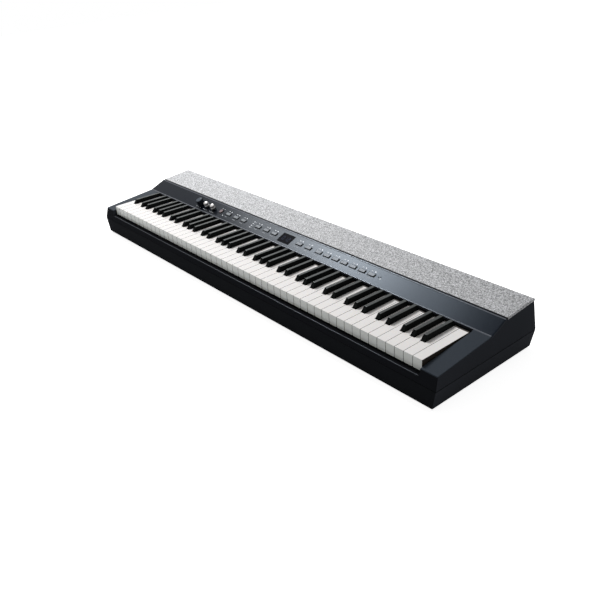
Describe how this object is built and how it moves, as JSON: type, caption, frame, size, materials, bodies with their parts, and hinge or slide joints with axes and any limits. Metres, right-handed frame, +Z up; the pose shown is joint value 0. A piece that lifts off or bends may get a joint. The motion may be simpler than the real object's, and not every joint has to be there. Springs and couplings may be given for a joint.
{
  "type": "digital piano",
  "caption": "Slim portable digital piano: full-size keyboard in a two-part case with a sloped control panel and a cloth-covered speaker grille along the rear.",
  "frame": {"origin": "middle of the footprint, on the surface that the feet stand on", "axes": "+X along the keys from bass to treble, +Y from the player towards the rear, +Z up"},
  "size_m": [1.3226, 0.3158, 0.1208],
  "materials": {
    "case_black": "satin black moulded plastic",
    "case_blue_grey": "satin dark blue-grey moulded plastic",
    "key_white": "smooth white key plastic",
    "key_black": "satin black key plastic",
    "cloth_silver_grey": "speckled silver-grey speaker cloth",
    "button_grey": "satin grey plastic",
    "chrome": "bright plated",
    "knob_black": "dark satin plastic with a flat blue-grey top",
    "window_black": "glossy black window",
    "board_green": "lacquered circuit board",
    "inner_plastic": "unpainted dark plastic",
    "felt_grey": "charcoal key felt",
    "rubber": "black rubber",
    "speaker_black": "black lacquered steel and paper cone"
  },
  "bodies": {
    "case": {"bottom_case": "case_black", "top_case": "case_blue_grey", "control_panel": "case_blue_grey", "grille_frame": "inner_plastic", "grille_cloth": "cloth_silver_grey", "display_window": "window_black", "display_module": "inner_plastic", "control_board": "board_green", "main_board": "board_green", "socket_board": "board_green", "socket_plate": "case_black", "speaker_left": "speaker_black", "speaker_right": "speaker_black", "key_chassis": "inner_plastic", "contact_board": "board_green", "key_felt": "felt_grey", "foot_front_left": "rubber", "foot_front_right": "rubber", "foot_rear_left": "rubber", "foot_rear_right": "rubber"},
    "white_keys_cegb_1": {"white_keys_cegb_1": "key_white"},
    "white_keys_dfa_1": {"white_keys_dfa_1": "key_white"},
    "black_keys_1": {"black_keys_1": "key_black"},
    "white_keys_cegb_2": {"white_keys_cegb_2": "key_white"},
    "white_keys_dfa_2": {"white_keys_dfa_2": "key_white"},
    "black_keys_2": {"black_keys_2": "key_black"},
    "white_keys_cegb_3": {"white_keys_cegb_3": "key_white"},
    "white_keys_dfa_3": {"white_keys_dfa_3": "key_white"},
    "black_keys_3": {"black_keys_3": "key_black"},
    "white_keys_cegb_4": {"white_keys_cegb_4": "key_white"},
    "white_keys_dfa_4": {"white_keys_dfa_4": "key_white"},
    "black_keys_4": {"black_keys_4": "key_black"},
    "white_keys_cegb_5": {"white_keys_cegb_5": "key_white"},
    "white_keys_dfa_5": {"white_keys_dfa_5": "key_white"},
    "black_keys_5": {"black_keys_5": "key_black"},
    "white_keys_cegb_6": {"white_keys_cegb_6": "key_white"},
    "white_keys_dfa_6": {"white_keys_dfa_6": "key_white"},
    "black_keys_6": {"black_keys_6": "key_black"},
    "white_keys_cegb_7": {"white_keys_cegb_7": "key_white"},
    "white_keys_dfa_7": {"white_keys_dfa_7": "key_white"},
    "black_keys_7": {"black_keys_7": "key_black"},
    "button_01": {"button_01": "button_grey"},
    "button_02": {"button_02": "button_grey"},
    "button_03": {"button_03": "button_grey"},
    "button_04": {"button_04": "button_grey"},
    "button_05": {"button_05": "button_grey"},
    "button_06": {"button_06": "button_grey"},
    "button_07": {"button_07": "button_grey"},
    "button_08": {"button_08": "button_grey"},
    "button_09": {"button_09": "button_grey"},
    "button_10": {"button_10": "button_grey"},
    "button_11": {"button_11": "button_grey"},
    "button_12": {"button_12": "button_grey"},
    "button_13": {"button_13": "button_grey"},
    "button_14": {"button_14": "button_grey"},
    "button_15": {"button_15": "button_grey"},
    "button_16": {"button_16": "button_grey"},
    "volume_knob": {"volume_knob": "knob_black"},
    "bass_knob": {"bass_knob": "chrome"},
    "treble_knob": {"treble_knob": "chrome"}
  },
  "joints": [
    {"name": "white_keys_cegb_1_press", "type": "hinge", "parent": "case", "child": "white_keys_cegb_1", "pos_m": [-0.4838, 0.0805, 0.06], "axis": [1, 0, 0], "range_deg": [0, 2.5], "stiffness_Nm_per_rad": 3, "springref_deg": -8.59},
    {"name": "white_keys_dfa_1_press", "type": "hinge", "parent": "case", "child": "white_keys_dfa_1", "pos_m": [-0.4838, 0.0685, 0.06], "axis": [1, 0, 0], "range_deg": [0, 2.65], "stiffness_Nm_per_rad": 2.5, "springref_deg": -8.59},
    {"name": "black_keys_1_press", "type": "hinge", "parent": "case", "child": "black_keys_1", "pos_m": [-0.4838, 0.0565, 0.06], "axis": [1, 0, 0], "range_deg": [0, 3.6], "stiffness_Nm_per_rad": 3, "springref_deg": -8.59},
    {"name": "white_keys_cegb_2_press", "type": "hinge", "parent": "case", "child": "white_keys_cegb_2", "pos_m": [-0.3186, 0.0805, 0.06], "axis": [1, 0, 0], "range_deg": [0, 2.5], "stiffness_Nm_per_rad": 3, "springref_deg": -8.59},
    {"name": "white_keys_dfa_2_press", "type": "hinge", "parent": "case", "child": "white_keys_dfa_2", "pos_m": [-0.3186, 0.0685, 0.06], "axis": [1, 0, 0], "range_deg": [0, 2.65], "stiffness_Nm_per_rad": 2.5, "springref_deg": -8.59},
    {"name": "black_keys_2_press", "type": "hinge", "parent": "case", "child": "black_keys_2", "pos_m": [-0.3186, 0.0565, 0.06], "axis": [1, 0, 0], "range_deg": [0, 3.6], "stiffness_Nm_per_rad": 3, "springref_deg": -8.59},
    {"name": "white_keys_cegb_3_press", "type": "hinge", "parent": "case", "child": "white_keys_cegb_3", "pos_m": [-0.1534, 0.0805, 0.06], "axis": [1, 0, 0], "range_deg": [0, 2.5], "stiffness_Nm_per_rad": 3, "springref_deg": -8.59},
    {"name": "white_keys_dfa_3_press", "type": "hinge", "parent": "case", "child": "white_keys_dfa_3", "pos_m": [-0.1534, 0.0685, 0.06], "axis": [1, 0, 0], "range_deg": [0, 2.65], "stiffness_Nm_per_rad": 2.5, "springref_deg": -8.59},
    {"name": "black_keys_3_press", "type": "hinge", "parent": "case", "child": "black_keys_3", "pos_m": [-0.1534, 0.0565, 0.06], "axis": [1, 0, 0], "range_deg": [0, 3.6], "stiffness_Nm_per_rad": 3, "springref_deg": -8.59},
    {"name": "white_keys_cegb_4_press", "type": "hinge", "parent": "case", "child": "white_keys_cegb_4", "pos_m": [0.0118, 0.0805, 0.06], "axis": [1, 0, 0], "range_deg": [0, 2.5], "stiffness_Nm_per_rad": 3, "springref_deg": -8.59},
    {"name": "white_keys_dfa_4_press", "type": "hinge", "parent": "case", "child": "white_keys_dfa_4", "pos_m": [0.0118, 0.0685, 0.06], "axis": [1, 0, 0], "range_deg": [0, 2.65], "stiffness_Nm_per_rad": 2.5, "springref_deg": -8.59},
    {"name": "black_keys_4_press", "type": "hinge", "parent": "case", "child": "black_keys_4", "pos_m": [0.0118, 0.0565, 0.06], "axis": [1, 0, 0], "range_deg": [0, 3.6], "stiffness_Nm_per_rad": 3, "springref_deg": -8.59},
    {"name": "white_keys_cegb_5_press", "type": "hinge", "parent": "case", "child": "white_keys_cegb_5", "pos_m": [0.177, 0.0805, 0.06], "axis": [1, 0, 0], "range_deg": [0, 2.5], "stiffness_Nm_per_rad": 3, "springref_deg": -8.59},
    {"name": "white_keys_dfa_5_press", "type": "hinge", "parent": "case", "child": "white_keys_dfa_5", "pos_m": [0.177, 0.0685, 0.06], "axis": [1, 0, 0], "range_deg": [0, 2.65], "stiffness_Nm_per_rad": 2.5, "springref_deg": -8.59},
    {"name": "black_keys_5_press", "type": "hinge", "parent": "case", "child": "black_keys_5", "pos_m": [0.177, 0.0565, 0.06], "axis": [1, 0, 0], "range_deg": [0, 3.6], "stiffness_Nm_per_rad": 3, "springref_deg": -8.59},
    {"name": "white_keys_cegb_6_press", "type": "hinge", "parent": "case", "child": "white_keys_cegb_6", "pos_m": [0.3422, 0.0805, 0.06], "axis": [1, 0, 0], "range_deg": [0, 2.5], "stiffness_Nm_per_rad": 3, "springref_deg": -8.59},
    {"name": "white_keys_dfa_6_press", "type": "hinge", "parent": "case", "child": "white_keys_dfa_6", "pos_m": [0.3422, 0.0685, 0.06], "axis": [1, 0, 0], "range_deg": [0, 2.65], "stiffness_Nm_per_rad": 2.5, "springref_deg": -8.59},
    {"name": "black_keys_6_press", "type": "hinge", "parent": "case", "child": "black_keys_6", "pos_m": [0.3422, 0.0565, 0.06], "axis": [1, 0, 0], "range_deg": [0, 3.6], "stiffness_Nm_per_rad": 3, "springref_deg": -8.59},
    {"name": "white_keys_cegb_7_press", "type": "hinge", "parent": "case", "child": "white_keys_cegb_7", "pos_m": [0.5074, 0.0805, 0.06], "axis": [1, 0, 0], "range_deg": [0, 2.5], "stiffness_Nm_per_rad": 3, "springref_deg": -8.59},
    {"name": "white_keys_dfa_7_press", "type": "hinge", "parent": "case", "child": "white_keys_dfa_7", "pos_m": [0.5074, 0.0685, 0.06], "axis": [1, 0, 0], "range_deg": [0, 2.65], "stiffness_Nm_per_rad": 2.5, "springref_deg": -8.59},
    {"name": "black_keys_7_press", "type": "hinge", "parent": "case", "child": "black_keys_7", "pos_m": [0.5074, 0.0565, 0.06], "axis": [1, 0, 0], "range_deg": [0, 3.6], "stiffness_Nm_per_rad": 3, "springref_deg": -8.59},
    {"name": "button_01_press", "type": "slide", "parent": "case", "child": "button_01", "axis": [0, 0.3861, -0.9225], "range_m": [0, 0.0008], "stiffness_N_per_m": 800, "springref_m": -0.001},
    {"name": "button_02_press", "type": "slide", "parent": "case", "child": "button_02", "axis": [0, 0.3861, -0.9225], "range_m": [0, 0.0008], "stiffness_N_per_m": 800, "springref_m": -0.001},
    {"name": "button_03_press", "type": "slide", "parent": "case", "child": "button_03", "axis": [0, 0.3861, -0.9225], "range_m": [0, 0.0008], "stiffness_N_per_m": 800, "springref_m": -0.001},
    {"name": "button_04_press", "type": "slide", "parent": "case", "child": "button_04", "axis": [0, 0.3861, -0.9225], "range_m": [0, 0.0008], "stiffness_N_per_m": 800, "springref_m": -0.001},
    {"name": "button_05_press", "type": "slide", "parent": "case", "child": "button_05", "axis": [0, 0.3861, -0.9225], "range_m": [0, 0.0008], "stiffness_N_per_m": 800, "springref_m": -0.001},
    {"name": "button_06_press", "type": "slide", "parent": "case", "child": "button_06", "axis": [0, 0.3861, -0.9225], "range_m": [0, 0.0008], "stiffness_N_per_m": 800, "springref_m": -0.001},
    {"name": "button_07_press", "type": "slide", "parent": "case", "child": "button_07", "axis": [0, 0.3861, -0.9225], "range_m": [0, 0.0008], "stiffness_N_per_m": 800, "springref_m": -0.001},
    {"name": "button_08_press", "type": "slide", "parent": "case", "child": "button_08", "axis": [0, 0.3861, -0.9225], "range_m": [0, 0.0008], "stiffness_N_per_m": 800, "springref_m": -0.001},
    {"name": "button_09_press", "type": "slide", "parent": "case", "child": "button_09", "axis": [0, 0.3861, -0.9225], "range_m": [0, 0.0008], "stiffness_N_per_m": 800, "springref_m": -0.001},
    {"name": "button_10_press", "type": "slide", "parent": "case", "child": "button_10", "axis": [0, 0.3861, -0.9225], "range_m": [0, 0.0008], "stiffness_N_per_m": 800, "springref_m": -0.001},
    {"name": "button_11_press", "type": "slide", "parent": "case", "child": "button_11", "axis": [0, 0.3861, -0.9225], "range_m": [0, 0.0008], "stiffness_N_per_m": 800, "springref_m": -0.001},
    {"name": "button_12_press", "type": "slide", "parent": "case", "child": "button_12", "axis": [0, 0.3861, -0.9225], "range_m": [0, 0.0008], "stiffness_N_per_m": 800, "springref_m": -0.001},
    {"name": "button_13_press", "type": "slide", "parent": "case", "child": "button_13", "axis": [0, 0.3861, -0.9225], "range_m": [0, 0.0008], "stiffness_N_per_m": 800, "springref_m": -0.001},
    {"name": "button_14_press", "type": "slide", "parent": "case", "child": "button_14", "axis": [0, 0.3861, -0.9225], "range_m": [0, 0.0008], "stiffness_N_per_m": 800, "springref_m": -0.001},
    {"name": "button_15_press", "type": "slide", "parent": "case", "child": "button_15", "axis": [0, 0.3861, -0.9225], "range_m": [0, 0.0008], "stiffness_N_per_m": 800, "springref_m": -0.001},
    {"name": "button_16_press", "type": "slide", "parent": "case", "child": "button_16", "axis": [0, 0.3861, -0.9225], "range_m": [0, 0.0008], "stiffness_N_per_m": 800, "springref_m": -0.001},
    {"name": "volume_knob_turn", "type": "hinge", "parent": "case", "child": "volume_knob", "pos_m": [-0.394, 0.02952, 0.10108], "axis": [0, -0.3861, 0.9225], "range_deg": [-150, 150]},
    {"name": "bass_knob_turn", "type": "hinge", "parent": "case", "child": "bass_knob", "pos_m": [-0.3605, 0.02952, 0.10108], "axis": [0, -0.3861, 0.9225], "range_deg": [-150, 150]},
    {"name": "treble_knob_turn", "type": "hinge", "parent": "case", "child": "treble_knob", "pos_m": [-0.3285, 0.02952, 0.10108], "axis": [0, -0.3861, 0.9225], "range_deg": [-150, 150]}
  ]
}
